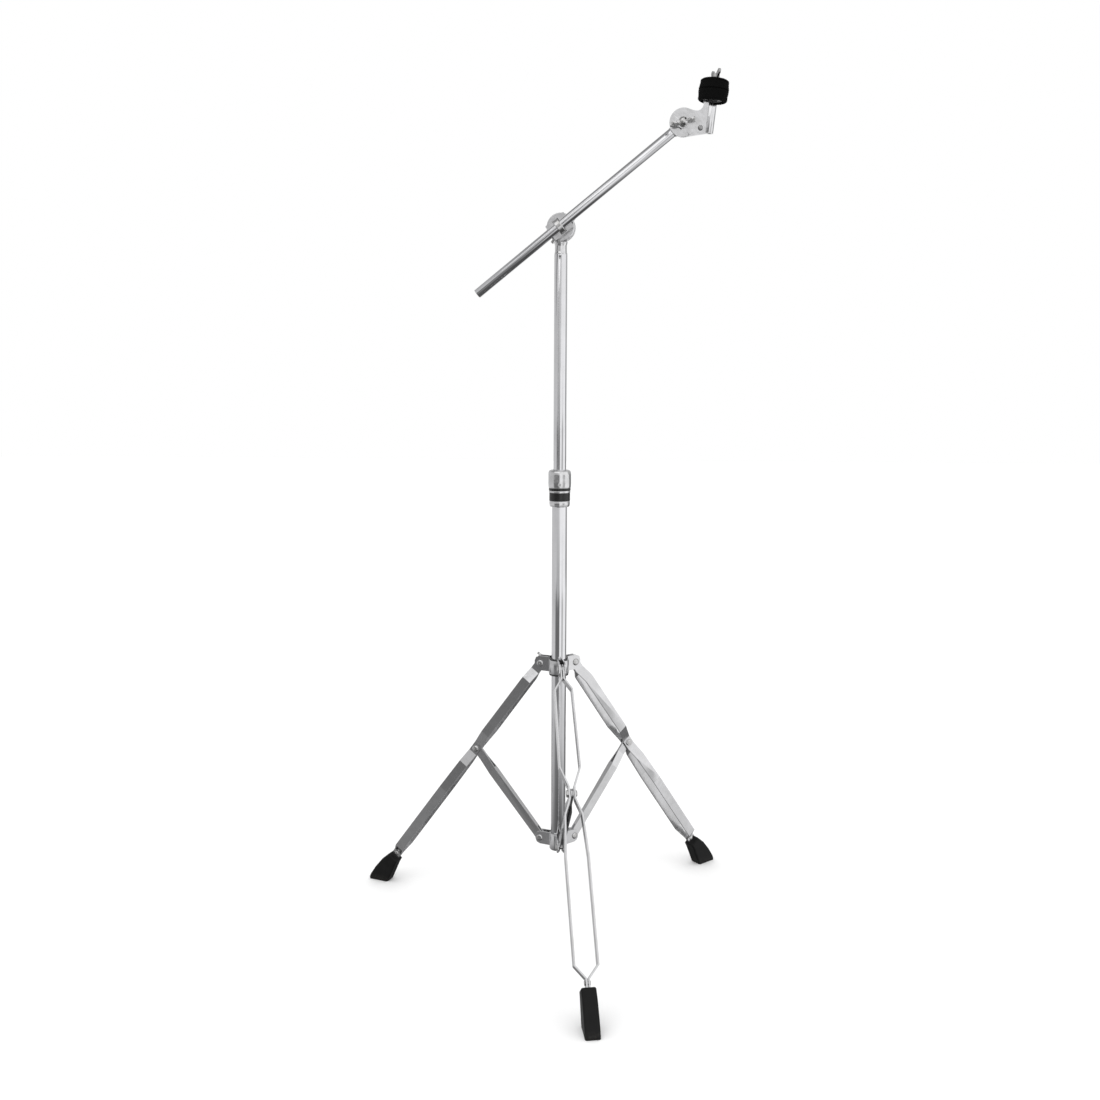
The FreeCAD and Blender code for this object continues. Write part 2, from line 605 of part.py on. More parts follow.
def cymbal_rod():
    rod = cylinder(3.0, vec(0, 0, 2.0), ARM_SLEEVE_H + 26.0)
    rod = softened(rod, 0.5, lambda e: abs(e.CenterOfMass.z - ARM_SLEEVE_H - 28.0) < 0.01 and e.Length > 10)
    return on_rod(rod)


def cup_washer():
    """Cup under the lower felt, sitting on the casting's sleeve."""
    z = ARM_SLEEVE_H
    points = [(3.1, z + 0.05), (10.5, z + 0.05), (12.6, z + 1.2), (12.6, z + 2.4), (11.4, z + 2.4), (10.0, z + 1.6), (3.1, z + 1.6)]
    return on_rod(turned_profile(points))


def cymbal_sleeve():
    """Plastic sleeve that keeps a cymbal off the rod's thread."""
    z = ARM_SLEEVE_H + 1.65
    return on_rod(ring(4.9, 3.1, vec(0, 0, z), 19.5))


def felt(z0, height, low_r, high_r, bore):
    """Felt washer with rounded shoulders."""
    points = [(bore, z0), (low_r - 2.4, z0), (low_r - 0.6, z0 + 0.8), (low_r, z0 + 2.8), (high_r, z0 + height - 2.8),
              (high_r - 0.8, z0 + height - 0.8), (high_r - 2.8, z0 + height), (bore, z0 + height)]
    return turned_profile(points)


def lower_felt():
    z = ARM_SLEEVE_H - 1.6
    body = felt(z, 12.4, 16.8, FELT_R, 5.0)
    recess = cylinder(12.9, vec(0, 0, z - 1), 5.1)
    return on_rod(body.cut(recess))


def upper_felt():
    z = ARM_SLEEVE_H + 11.1
    return on_rod(felt(z, 11.6, FELT_R, 15.9, 5.2))


def top_wing_nut():
    """Wing nut on top of the felts."""
    hub = turned_profile([(0, 0), (6.6, 0), (6.4, 1.2), (4.8, 2.2), (4.4, 6.0), (0, 6.2)])
    nut = fused(hub, *wing_blades(23.4, 10.6, 2.9, 2.2, 4.6, 5.0))
    nut = nut.cut(cylinder(3.08, vec(0, 0, -1), 30))
    nut = rotated(nut, -66, Z)
    return on_rod(moved(nut, 0, 0, ARM_SLEEVE_H + 22.9))


# ---- build ----
def build_column():
    export("lower_tube", lower_tube())
    export("tube_plug", tube_plug())
    export("height_collar", height_collar())
    export("collar_band_upper", collar_band(BAND_UPPER, 12.92, 13.65))
    export("collar_band_lower", collar_band(BAND_LOWER, 12.22, 13.05))
    export("height_bushing", height_bushing())
    export("height_wing_bolt", height_wing_bolt())


def build_collars():
    names = ["front", "right", "left"]
    for name in names:
        plate = rotated(leg_collar_plate(), LEG_TURNS[name])
        if name == "right":
            plate = plate.fuse(screw_boss()).cut(screw_hole()).removeSplitter()
            plate = plate.cut(cylinder(BUSH_R + 0.02, vec(0, 0, LEG_PIVOT_Z - 60), 120))
        export("leg_collar_plate_" + name, plate)
        export("brace_collar_plate_" + name, rotated(brace_collar_plate(), LEG_TURNS[name]))
    leg_rivet = ear_rivet(LEG_RIVET_R, LEG_EAR_GAP, LEG_PIVOT_Z)
    brace_rivet = ear_rivet(BRACE_RIVET_R, BRACE_EAR_GAP, BRACE_PIVOT_Z)
    export("leg_rivets", *[rotated(leg_rivet, LEG_TURNS[n]) for n in names])
    export("brace_rivets", *[rotated(brace_rivet, LEG_TURNS[n]) for n in names])
    export("leg_collar_bushing", leg_collar_bushing())
    export("leg_collar_screw", leg_collar_screw())


def build_legs():
    strip_a = on_leg(leg_strip())
    strip_b = on_leg(leg_strip().mirror(ORIGIN, Y))
    bolt_parts = [on_leg(s) for s in pinch_bolt()]
    rivet = on_leg(foot_rivet())
    foot = rubber_foot()
    channel = on_brace(brace())
    for name, angle in LEG_TURNS.items():
        export("leg_strip_" + name + "_a", rotated(strip_a, angle))
        export("leg_strip_" + name + "_b", rotated(strip_b, angle))
        export("leg_bolt_" + name, *[rotated(s, angle) for s in bolt_parts])
        export("foot_rivet_" + name, rotated(rivet, angle))
        export("rubber_foot_" + name, rotated(foot, angle))
        export("brace_" + name, rotated(channel, angle))


def build_mast():
    export("middle_tube", swivelled(middle_tube()))
    export("middle_glide", middle_glide())
    export("tilter_rear", swivelled(tilter_rear()))
    export("tilter_front", swivelled(tilter_front()))
    export("tilter_eyebolt", swivelled(eyebolt()))
    export("tilter_washer", swivelled(tilter_washer()))
    export("tilter_wing_nut", swivelled(tilter_wing_nut()))


def build_boom():
    export("boom_tube", swivelled(boom_tube()))
    export("boom_tip", swivelled(boom_tip()))
    export("cymbal_arm", swivelled(cymbal_arm()))
    export("arm_set_screw", swivelled(set_screw()))
    export("tip_wing_screw", swivelled(tip_wing_screw()))
    export("cymbal_rod", swivelled(cymbal_rod()))
    export("cup_washer", swivelled(cup_washer()))
    export("cymbal_sleeve", swivelled(cymbal_sleeve()))
    export("lower_felt", swivelled(lower_felt()))
    export("upper_felt", swivelled(upper_felt()))
    export("top_wing_nut", swivelled(top_wing_nut()))


os.makedirs("parts", exist_ok=True)
build_column()
build_collars()
build_legs()
build_mast()
build_boom()
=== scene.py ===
import json
import math
import random

import bpy
import bmesh
from mathutils import Matrix, Vector, noise


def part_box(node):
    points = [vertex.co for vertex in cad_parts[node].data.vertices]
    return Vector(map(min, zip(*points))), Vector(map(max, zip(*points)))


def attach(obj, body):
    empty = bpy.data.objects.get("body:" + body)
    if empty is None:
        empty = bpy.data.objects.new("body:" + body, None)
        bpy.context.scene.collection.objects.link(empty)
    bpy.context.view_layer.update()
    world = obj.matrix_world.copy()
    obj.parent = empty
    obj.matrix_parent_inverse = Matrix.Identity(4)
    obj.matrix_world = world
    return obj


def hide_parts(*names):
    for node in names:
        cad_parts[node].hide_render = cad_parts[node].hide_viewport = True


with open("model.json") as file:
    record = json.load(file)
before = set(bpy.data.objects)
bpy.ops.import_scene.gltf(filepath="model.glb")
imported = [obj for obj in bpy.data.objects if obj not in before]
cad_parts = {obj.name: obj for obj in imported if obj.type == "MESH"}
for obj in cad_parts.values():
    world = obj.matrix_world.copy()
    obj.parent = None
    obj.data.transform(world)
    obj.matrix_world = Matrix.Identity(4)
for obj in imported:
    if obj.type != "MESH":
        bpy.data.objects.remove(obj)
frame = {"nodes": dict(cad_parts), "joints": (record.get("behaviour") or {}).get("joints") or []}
NODES = frame["nodes"]
JOINTS = {j["name"]: j for j in frame["joints"]}
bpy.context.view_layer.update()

LEGS = ("front", "right", "left")
MM = 0.001

CAMERA_LENS = 36.61  # mm, on a sensor 36 mm wide
CAMERA_SENSOR = 36.0
CAMERA_AT = (0.05328, -1.39259, 0.72560)  # from the column's foot
CAMERA_PITCH = math.radians(9.514)  # downwards
CAMERA_YAW = math.radians(-2.680)
CAMERA_ROLL = -0.00364


# ---------------------------------------------------------------- places
def box_centre(node):
    low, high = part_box(node)
    return (low + high) / 2


AXIS = box_centre("lower_tube")  # the column's axis, in x and y
ROD_DIR = Vector(JOINTS["felt_lift"]["axis"]).normalized()
SLEEVE_H = 36.0 * MM  # arm sleeve, from its foot to the cup washer
ROD_FOOT = Vector(JOINTS["top_nut_turn"]["pos_m"]) - ROD_DIR * (SLEEVE_H + 25 * MM)
BOOM_DIR = Vector(JOINTS["boom_slide"]["axis"]).normalized()


def rod_matrix(height):
    """Frame whose Z runs up the cymbal rod, at a height above the arm sleeve's foot."""
    x = Vector((1, 0, 0)).cross(ROD_DIR).cross(ROD_DIR).normalized() * -1
    y = ROD_DIR.cross(x)
    turn = Matrix((x, y, ROD_DIR)).transposed().to_4x4()
    return Matrix.Translation(ROD_FOOT + ROD_DIR * height) @ turn


# ---------------------------------------------------------------- camera
def make_camera():
    data = bpy.data.cameras.new("camera")
    data.sensor_width = CAMERA_SENSOR
    data.lens = CAMERA_LENS
    data.clip_start = 0.05
    data.clip_end = 60
    cam = bpy.data.objects.new("camera", data)
    bpy.context.scene.collection.objects.link(cam)
    pitch, yaw, roll = CAMERA_PITCH, CAMERA_YAW, CAMERA_ROLL
    ahead = Vector((math.sin(yaw) * math.cos(pitch), math.cos(yaw) * math.cos(pitch), -math.sin(pitch)))
    right = Vector((math.cos(yaw), -math.sin(yaw), 0))
    up = right.cross(ahead)
    right_r = right * math.cos(roll) - up * math.sin(roll)
    up_r = right * math.sin(roll) + up * math.cos(roll)
    place = Matrix((right_r, up_r, -ahead)).transposed().to_4x4()
    place.translation = Vector((AXIS.x + CAMERA_AT[0], AXIS.y + CAMERA_AT[1], CAMERA_AT[2]))
    cam.matrix_world = place
    bpy.context.scene.camera = cam


# ---------------------------------------------------------------- node helpers
class Graph:
    """Short calls for building one node tree."""

    def __init__(self, tree):
        self.tree = tree
        self.nodes = tree.nodes
        self.links = tree.links

    def add(self, kind, **values):
        node = self.nodes.new(kind)
        for name, value in values.items():
            setattr(node, name, value)
        return node

    def join(self, out, into):
        self.links.new(out, into)

    def feed(self, socket, value):
        """A socket takes a number, a colour or another node's output."""
        if isinstance(value, bpy.types.NodeSocket):
            self.join(value, socket)
        else:
            socket.default_value = value

    def math(self, operation, a, b=0.0, clamp=False):
        node = self.add("ShaderNodeMath", operation=operation, use_clamp=clamp)
        self.feed(node.inputs[0], a)
        self.feed(node.inputs[1], b)
        return node.outputs[0]

    def span(self, value, low, high, to_low=0.0, to_high=1.0, smooth=False):
        node = self.add("ShaderNodeMapRange")
        if smooth:
            node.interpolation_type = "SMOOTHSTEP"
        self.feed(node.inputs["Value"], value)
        for name, number in (("From Min", low), ("From Max", high), ("To Min", to_low), ("To Max", to_high)):
            node.inputs[name].default_value = number
        return node.outputs["Result"]

    def mix(self, factor, a, b):
        node = self.add("ShaderNodeMix", data_type="RGBA")
        self.feed(node.inputs["Factor"], factor)
        self.feed(node.inputs[6], a)
        self.feed(node.inputs[7], b)
        return node.outputs[2]

    def ramp(self, value, stops, interpolation="LINEAR"):
        node = self.add("ShaderNodeValToRGB")
        node.color_ramp.interpolation = interpolation
        elements = node.color_ramp.elements
        while len(elements) < len(stops):
            elements.new(0.5)
        for element, (at, colour) in zip(elements, sorted(stops)):
            element.position = at
            element.color = colour if len(colour) == 4 else (*colour, 1)
        self.feed(node.inputs[0], value)
        return node.outputs[0]

    def place(self, scale=(1, 1, 1), turn=(0, 0, 0), shift=(0, 0, 0)):
        """Object coordinates in metres, moved, turned and scaled."""
        coordinates = self.add("ShaderNodeTexCoord")
        mapping = self.add("ShaderNodeMapping")
        self.join(coordinates.outputs["Object"], mapping.inputs["Vector"])
        mapping.inputs["Location"].default_value = shift
        mapping.inputs["Rotation"].default_value = turn
        mapping.inputs["Scale"].default_value = scale
        return mapping.outputs[0]

    def noise(self, vector, scale, detail=3.0, rough=0.55, distortion=0.0):
        node = self.add("ShaderNodeTexNoise")
        self.join(vector, node.inputs["Vector"])
        node.inputs["Scale"].default_value = scale
        node.inputs["Detail"].default_value = detail
        node.inputs["Roughness"].default_value = rough
        node.inputs["Distortion"].default_value = distortion
        return node.outputs["Fac"]

    def specks(self, vector, scale, size):
        """Small round dots, 1 inside and 0 outside."""
        node = self.add("ShaderNodeTexVoronoi")
        self.join(vector, node.inputs["Vector"])
        node.inputs["Scale"].default_value = scale
        return self.span(node.outputs["Distance"], size, size * 0.6)

    def bump(self, height, depth, normal=None):
        node = self.add("ShaderNodeBump")
        node.inputs["Strength"].default_value = 1.0
        node.inputs["Distance"].default_value = depth
        self.join(height, node.inputs["Height"])
        if normal is not None:
            self.join(normal, node.inputs["Normal"])
        return node.outputs[0]


def material(name):
    """A new material with only its Principled shader and output."""
    made = bpy.data.materials.new(name)
    made.use_nodes = True
    graph = Graph(made.node_tree)
    shader = made.node_tree.nodes["Principled BSDF"]
    return made, graph, shader


def grey(value, blue=0.0):
    return (value, value, value + blue, 1)


# ---------------------------------------------------------------- materials
def lengthwise(graph, direction, along, across):
    """Object coordinates squeezed along a direction, for drawn and polished lines."""
    turn = direction.to_track_quat("Z", "Y").inverted().to_euler()
    return graph.place(scale=(across, across, along), turn=turn)


def plated_tube(name, direction, rub=0.35):
    """Polished chrome plate on drawn tube: faint lengthwise lines, haze and a few pits."""
    made, g, shader = material(name)
    lines = g.noise(lengthwise(g, direction, 6, 900), 1.0, 2.0)
    haze = g.noise(g.place(), 38, 4.0, 0.6)
    smear = g.noise(g.place(scale=(1, 1, 0.35)), 130, 3.0, 0.65, 0.8)
    rough = g.math("ADD", g.span(haze, 0.35, 0.75, 0.035, 0.085), g.span(lines, 0.4, 0.8, 0.0, 0.045))
    rough = g.math("ADD", rough, g.span(smear, 0.58, 0.8, 0.0, 0.09 * rub))
    pits = g.specks(g.place(), 95, 0.035)
    rough = g.math("ADD", rough, g.math("MULTIPLY", pits, 0.25))
    tone = g.mix(g.span(haze, 0.3, 0.8), grey(0.78, 0.012), grey(0.70, 0.008))
    tone = g.mix(pits, tone, grey(0.33))
    g.feed(shader.inputs["Base Color"], tone)
    g.feed(shader.inputs["Roughness"], rough)
    shader.inputs["Metallic"].default_value = 1.0
    wave = g.bump(g.noise(g.place(scale=(1, 1, 0.25)), 60, 1.0), 0.00009)
    g.feed(shader.inputs["Normal"], g.bump(lines, 0.000004, wave))
    return made


def pressed_strip(name, direction, tone_high=0.74, tone_low=0.60):
    """Chrome over pressed steel: rolled grain, softer gloss, worn lines and small scuffs."""
    made, g, shader = material(name)
    grain = g.noise(lengthwise(g, direction, 14, 1500), 1.0, 3.0, 0.7)
    cloud = g.noise(g.place(), 26, 4.0, 0.6)
    scuff = g.noise(lengthwise(g, direction, 190, 900), 1.0, 4.0, 0.75, 1.4)
    worn = g.span(scuff, 0.62, 0.74)
    rough = g.math("ADD", g.span(cloud, 0.3, 0.75, 0.10, 0.20), g.span(grain, 0.35, 0.8, 0.0, 0.08))
    rough = g.math("ADD", rough, g.math("MULTIPLY", worn, 0.14))
    tone = g.mix(g.span(cloud, 0.3, 0.75), grey(tone_high, 0.006), grey(tone_low))
    tone = g.mix(g.math("MULTIPLY", worn, 0.45), tone, grey(0.42))
    g.feed(shader.inputs["Base Color"], tone)
    g.feed(shader.inputs["Roughness"], rough)
    shader.inputs["Metallic"].default_value = 1.0
    wave = g.bump(g.noise(g.place(), 42, 2.0), 0.00035)
    g.feed(shader.inputs["Normal"], g.bump(grain, 0.000012, wave))
    return made


def cast_chrome(name):
    """Plated die casting: orange peel, soft polish and small darker spots at random."""
    made, g, shader = material(name)
    peel = g.noise(g.place(), 620, 2.0, 0.5)
    cloud = g.noise(g.place(), 85, 4.0, 0.6)
    fine = g.noise(g.place(), 2600, 2.0, 0.6)
    rough = g.math("ADD", g.span(cloud, 0.3, 0.75, 0.09, 0.20), g.span(fine, 0.4, 0.8, 0.0, 0.06))
    tone = g.mix(g.span(cloud, 0.3, 0.75), grey(0.76, 0.006), grey(0.62))
    spots = g.specks(g.place(), 160, 0.05)
    tone = g.mix(g.math("MULTIPLY", spots, 0.6), tone, grey(0.36))
    g.feed(shader.inputs["Base Color"], tone)
    g.feed(shader.inputs["Roughness"], rough)
    shader.inputs["Metallic"].default_value = 1.0
    wave = g.bump(g.noise(g.place(), 140, 1.0), 0.00018)
    g.feed(shader.inputs["Normal"], g.bump(peel, 0.00003, wave))
    return made


def plated_fastener(name, tone_high=0.70, tone_low=0.50, gloss=0.16):
    """Zinc and chrome plated fasteners: satin and a little mottled."""
    made, g, shader = material(name)
    mottle = g.noise(g.place(), 210, 4.0, 0.65)
    fine = g.noise(g.place(), 1900, 2.0, 0.6)
    warm = (tone_low, tone_low * 0.985, tone_low * 0.95, 1)
    tone = g.mix(g.span(mottle, 0.32, 0.72), grey(tone_high, 0.004), warm)
    rough = g.math("ADD", g.span(mottle, 0.3, 0.75, gloss, gloss + 0.13), g.span(fine, 0.4, 0.8, 0.0, 0.07))
    g.feed(shader.inputs["Base Color"], tone)
    g.feed(shader.inputs["Roughness"], rough)
    shader.inputs["Metallic"].default_value = 1.0
    g.feed(shader.inputs["Normal"], g.bump(g.noise(g.place(), 520, 2.0), 0.00004))
    return made


def threaded(name, direction, origin, pitch=1.25 * MM):
    """Steel with a fine thread round a direction, with painted shade in the thread's grooves."""
    made, g, shader = material(name)
    turn = direction.to_track_quat("Z", "Y").inverted()
    shift = -(turn @ origin)
    mapped = g.place(turn=turn.to_euler(), shift=shift)
    split = g.add("ShaderNodeSeparateXYZ")
    g.join(mapped, split.inputs[0])
    around = g.math("DIVIDE", g.math("ARCTAN2", split.outputs[1], split.outputs[0]), 2 * math.pi)
    climb = g.math("SUBTRACT", g.math("DIVIDE", split.outputs[2], pitch), around)
    tooth = g.math("PINGPONG", climb, 0.5)
    ridge = g.span(tooth, 0.06, 0.44, 0.0, 1.0, smooth=True)
    mottle = g.noise(g.place(), 260, 4.0, 0.65)
    # painted shade: the thread's grooves are coloured dark grey and its crests lighter steel grey
    tone = g.mix(ridge, grey(0.20), grey(0.62))
    tone = g.mix(g.span(mottle, 0.55, 0.8), tone, grey(0.34))
    g.feed(shader.inputs["Base Color"], tone)
    g.feed(shader.inputs["Roughness"], g.span(mottle, 0.3, 0.8, 0.22, 0.42))
    shader.inputs["Metallic"].default_value = 1.0
    g.feed(shader.inputs["Normal"], g.bump(ridge, 0.0005))
    return made


def moulded_rubber(name):
    """Black moulded rubber: fine skin, dull patches and dust low down."""
    made, g, shader = material(name)
    skin = g.noise(g.place(), 1500, 3.0, 0.65)
    cloud = g.noise(g.place(), 70, 4.0, 0.6)
    mapped = g.place()
    split = g.add("ShaderNodeSeparateXYZ")
    g.join(mapped, split.inputs[0])
    low = g.span(split.outputs[2], 0.011, 0.0005, 0.0, 1.0, smooth=True)
    dust = g.math("MULTIPLY", low, g.span(g.noise(g.place(), 420, 4.0, 0.7), 0.42, 0.7))
    tone = g.mix(g.span(cloud, 0.3, 0.75), grey(0.004), grey(0.008))
    tone = g.mix(g.math("MULTIPLY", dust, 0.5), tone, (0.055, 0.052, 0.047, 1))
    g.feed(shader.inputs["Base Color"], tone)
    rough = g.math("ADD", g.span(cloud, 0.3, 0.75, 0.42, 0.60), g.math("MULTIPLY", dust, 0.25))
    g.feed(shader.inputs["Roughness"], rough)
    shader.inputs["Specular IOR Level"].default_value = 0.18
    wave = g.bump(g.noise(g.place(), 120, 2.0), 0.00025)
    g.feed(shader.inputs["Normal"], g.bump(skin, 0.00005, wave))
    return made


def moulded_nylon(name, tone_value=0.022, rough_value=0.34):
    """Black moulded plastic with a faint spark-eroded skin."""
    made, g, shader = material(name)
    skin = g.noise(g.place(), 2200, 2.0, 0.6)
    cloud = g.noise(g.place(), 90, 4.0, 0.6)
    tone = g.mix(g.span(cloud, 0.3, 0.75), grey(tone_value), grey(tone_value * 1.7))
    g.feed(shader.inputs["Base Color"], tone)
    g.feed(shader.inputs["Roughness"], g.span(cloud, 0.3, 0.75, rough_value, rough_value + 0.16))
    g.feed(shader.inputs["Normal"], g.bump(skin, 0.00002))
    return made


def band_lacquer(name):
    """Satin black band with hair-fine turned lines and rubbed spots."""
    made, g, shader = material(name)
    rings = g.noise(g.place(scale=(8, 8, 2600)), 1.0, 2.0)
    cloud = g.noise(g.place(), 160, 4.0, 0.65)
    rub = g.span(cloud, 0.66, 0.78)
    tone = g.mix(g.span(rings, 0.4, 0.8), grey(0.004), grey(0.010))
    tone = g.mix(g.math("MULTIPLY", rub, 0.25), tone, grey(0.08))
    g.feed(shader.inputs["Base Color"], tone)
    g.feed(shader.inputs["Roughness"], g.span(cloud, 0.3, 0.8, 0.22, 0.42))
    g.feed(shader.inputs["Normal"], g.bump(rings, 0.00001))
    return made


def wool_felt(name):
    """Pressed black wool: matted fibre, lint and a soft edge glow."""
    made, g, shader = material(name)
    mat_noise = g.noise(g.place(), 900, 5.0, 0.75, 1.6)
    fibres = g.noise(g.place(scale=(1, 1, 0.4)), 2400, 3.0, 0.7, 2.2)
    lint = g.specks(g.place(), 330, 0.06)
    tone = g.mix(g.span(mat_noise, 0.35, 0.7), grey(0.002), grey(0.006))
    tone = g.mix(g.math("MULTIPLY", g.span(fibres, 0.6, 0.75), 0.5), tone, grey(0.011))
    tone = g.mix(g.math("MULTIPLY", lint, 0.35), tone, grey(0.035))
    g.feed(shader.inputs["Base Color"], tone)
    shader.inputs["Roughness"].default_value = 0.96
    shader.inputs["Specular IOR Level"].default_value = 0.05
    shader.inputs["Sheen Weight"].default_value = 0.03
    shader.inputs["Sheen Roughness"].default_value = 0.45
    shader.inputs["Sheen Tint"].default_value = grey(0.35)
    matted = g.bump(mat_noise, 0.0004)
    g.feed(shader.inputs["Normal"], g.bump(fibres, 0.00015, matted))
    return made


def paint(made, *names):
    for name in names:
        data = NODES[name].data
        data.materials.clear()
        data.materials.append(made)


def leg_direction(leg):
    """Unit vector down a leg."""
    foot = box_centre("foot_rivet_" + leg)
    pivot = Vector(JOINTS["leg_hinge_" + leg]["pos_m"])
    return (foot - pivot).normalized()


def brace_direction(leg):
    joint = Vector(JOINTS["brace_hinge_" + leg]["pos_m"])
    return (box_centre("leg_bolt_" + leg) - joint).normalized()


def paint_all():
    up = Vector((0, 0, 1))
    paint(plated_tube("chrome_lower", up), "lower_tube")
    paint(plated_tube("chrome_middle", up, 0.6), "middle_tube")
    paint(plated_tube("chrome_boom", BOOM_DIR, 1.0), "boom_tube")
    cast = cast_chrome("chrome_cast")
    paint(cast, "height_collar", "tilter_rear", "tilter_front", "boom_tip", "cymbal_arm")
    fastener = plated_fastener("plated_fastener")
    paint(fastener, "height_wing_bolt", "leg_collar_screw", "tilter_wing_nut", "tip_wing_screw",
          "tilter_washer")
    paint(plated_fastener("plated_rivets", 0.66, 0.46, 0.14), "leg_rivets", "brace_rivets")
    paint(plated_fastener("plated_eye", 0.72, 0.56, 0.10), "tilter_eyebolt")
    paint(plated_fastener("dark_screw", 0.40, 0.26, 0.22), "arm_set_screw")
    paint(plated_fastener("top_nut_plate", 0.50, 0.32, 0.20), "top_wing_nut")
    paint(threaded("threaded_rod", ROD_DIR, ROD_FOOT), "cymbal_rod")
    paint(band_lacquer("collar_band"), "collar_band_upper", "collar_band_lower")
    nylon = moulded_nylon("nylon")
    paint(nylon, "tube_plug", "height_bushing", "leg_collar_bushing", "middle_glide", "cymbal_sleeve",
          "cup_washer")
    rubber = moulded_rubber("foot_rubber")
    for leg in LEGS:
        strips = pressed_strip("strip_" + leg, leg_direction(leg))
        paint(strips, "leg_strip_" + leg + "_a", "leg_strip_" + leg + "_b")
        paint(pressed_strip("brace_" + leg + "_plate", brace_direction(leg), 0.76, 0.64), "brace_" + leg)
        plates = pressed_strip("plate_" + leg, Vector((0, 0, 1)), 0.72, 0.58)
        paint(plates, "leg_collar_plate_" + leg, "brace_collar_plate_" + leg)
        paint(fastener, "leg_bolt_" + leg, "foot_rivet_" + leg)
        paint(rubber, "rubber_foot_" + leg)


# ---------------------------------------------------------------- softened CAD edges
BEVELS = {
    0.22 * MM: ["leg_strip_", "brace_front", "brace_right", "brace_left"],
    0.28 * MM: ["leg_collar_plate_", "brace_collar_plate_"],
    0.35 * MM: ["tilter_front", "tilter_rear", "cymbal_arm", "boom_tip", "height_collar"],
    0.40 * MM: ["height_wing_bolt", "leg_collar_screw", "tilter_wing_nut", "tip_wing_screw"],
    0.30 * MM: ["leg_rivets", "brace_rivets", "leg_bolt_", "foot_rivet_", "tilter_washer", "tube_plug"],
    0.25 * MM: ["top_wing_nut", "boom_tube", "lower_tube", "middle_tube"],
}


def soften_edges():
    """A small real radius on the sharp edges of the parts listed in BEVELS, so that edges catch light."""
    for width, starts in BEVELS.items():
        for name, node in NODES.items():
            if not any(name.startswith(start) for start in starts):
                continue
            weld = node.modifiers.new("weld", "WELD")
            weld.merge_threshold = 0.000004
            bevel = node.modifiers.new("edge", "BEVEL")
            bevel.width = width
            bevel.segments = 2
            bevel.limit_method = "ANGLE"
            bevel.angle_limit = math.radians(38)
            bevel.use_clamp_overlap = True
            bevel.harden_normals = True


# ---------------------------------------------------------------- felts
def felt_profile(low_r, high_r, bore, height, recess_r, recess_h):
    """Half section of a felt, from the bore's foot round the outside to the bore's top."""
    points = []
    if recess_r:
        points += [(bore, recess_h), (recess_r, recess_h), (recess_r, 0.2)]
    else:
        points += [(bore, 0.0)]
    steps = 9
    corner = 3.0 if recess_r else 1.0  # the two felts meet with small corners
    for i in range(steps + 1):
        a = math.pi / 2 * i / steps
        points.append((low_r - corner + corner * math.sin(a), corner - corner * math.cos(a)))
    sides = 14
    for i in range(1, sides):
        t = i / sides
        r = low_r + (high_r - low_r) * t - 0.35 * math.sin(math.pi * t)
        points.append((r, corner + (height - 2 * corner) * t))
    corner_top = 1.0 if recess_r else 3.4
    for i in range(steps + 1):
        a = math.pi / 2 * i / steps
        r = high_r - corner_top + corner_top * math.cos(a)
        points.append((r, height - corner_top + corner_top * math.sin(a)))
    for i in range(1, 7):
        t = i / 7
        r = high_r - corner_top + (bore - high_r + corner_top) * t
        points.append((r, height - 0.3 * math.sin(math.pi * t)))
    points.append((bore, height))
    return [(r * MM, z * MM) for r, z in points]


def felt_lump(point, seed):
    """Uneven surface of pressed wool, in metres."""
    p = point * 1000
    shift = Vector((seed * 7.3, seed * 3.1, seed * 5.7))
    broad = noise.noise(p * 0.11 + shift)
    small = noise.noise(p * 0.45 + shift * 2)
    tiny = noise.noise(p * 1.5 + shift * 3)
    return (broad * 0.22 + small * 0.12 + tiny * 0.08) * MM


def make_felt(name, base, height, low_r, high_r, bore, recess_r, recess_h, body, node, seed):
    """A pressed felt washer with an uneven skin and loose fibres, in the place of its plain solid."""
    profile = felt_profile(low_r, high_r, bore, height, recess_r, recess_h)
    around = 144
    mesh = bpy.data.meshes.new(name)
    bm = bmesh.new()
    rings = []
    for r, z in profile:
        ring = []
        for i in range(around):
            a = 2 * math.pi * i / around
            out = Vector((math.cos(a), math.sin(a), 0))
            point = Vector((r * out.x, r * out.y, z))
            outer = max(0.0, min(1.0, (r - (bore + 1.5) * MM) / (4 * MM)))
            lump = felt_lump(point, seed) * outer
            middle = Vector((0, 0, height * 0.5 * MM))
            way = point - middle
            way = Vector((way.x, way.y, way.z * 0.6)).normalized()
            ring.append(bm.verts.new(point + way * (lump - 0.12 * MM * outer)))
        rings.append(ring)
    for lower, upper in zip(rings, rings[1:] + rings[:1]):
        for i in range(around):
            j = (i + 1) % around
            bm.faces.new((lower[i], lower[j], upper[j], upper[i]))
    bm.normal_update()
    shell = [(f.calc_center_median(), f.normal.copy()) for f in bm.faces]
    add_fibres(bm, shell, bore, seed)
    bm.to_mesh(mesh)
    bm.free()
    for polygon in mesh.polygons:
        polygon.use_smooth = True
    felt = bpy.data.objects.new(name, mesh)
    bpy.context.scene.collection.objects.link(felt)
    felt.matrix_world = rod_matrix(base * MM)
    mesh.materials.append(FELT)
    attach(felt, body)
    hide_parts(node)
    return felt


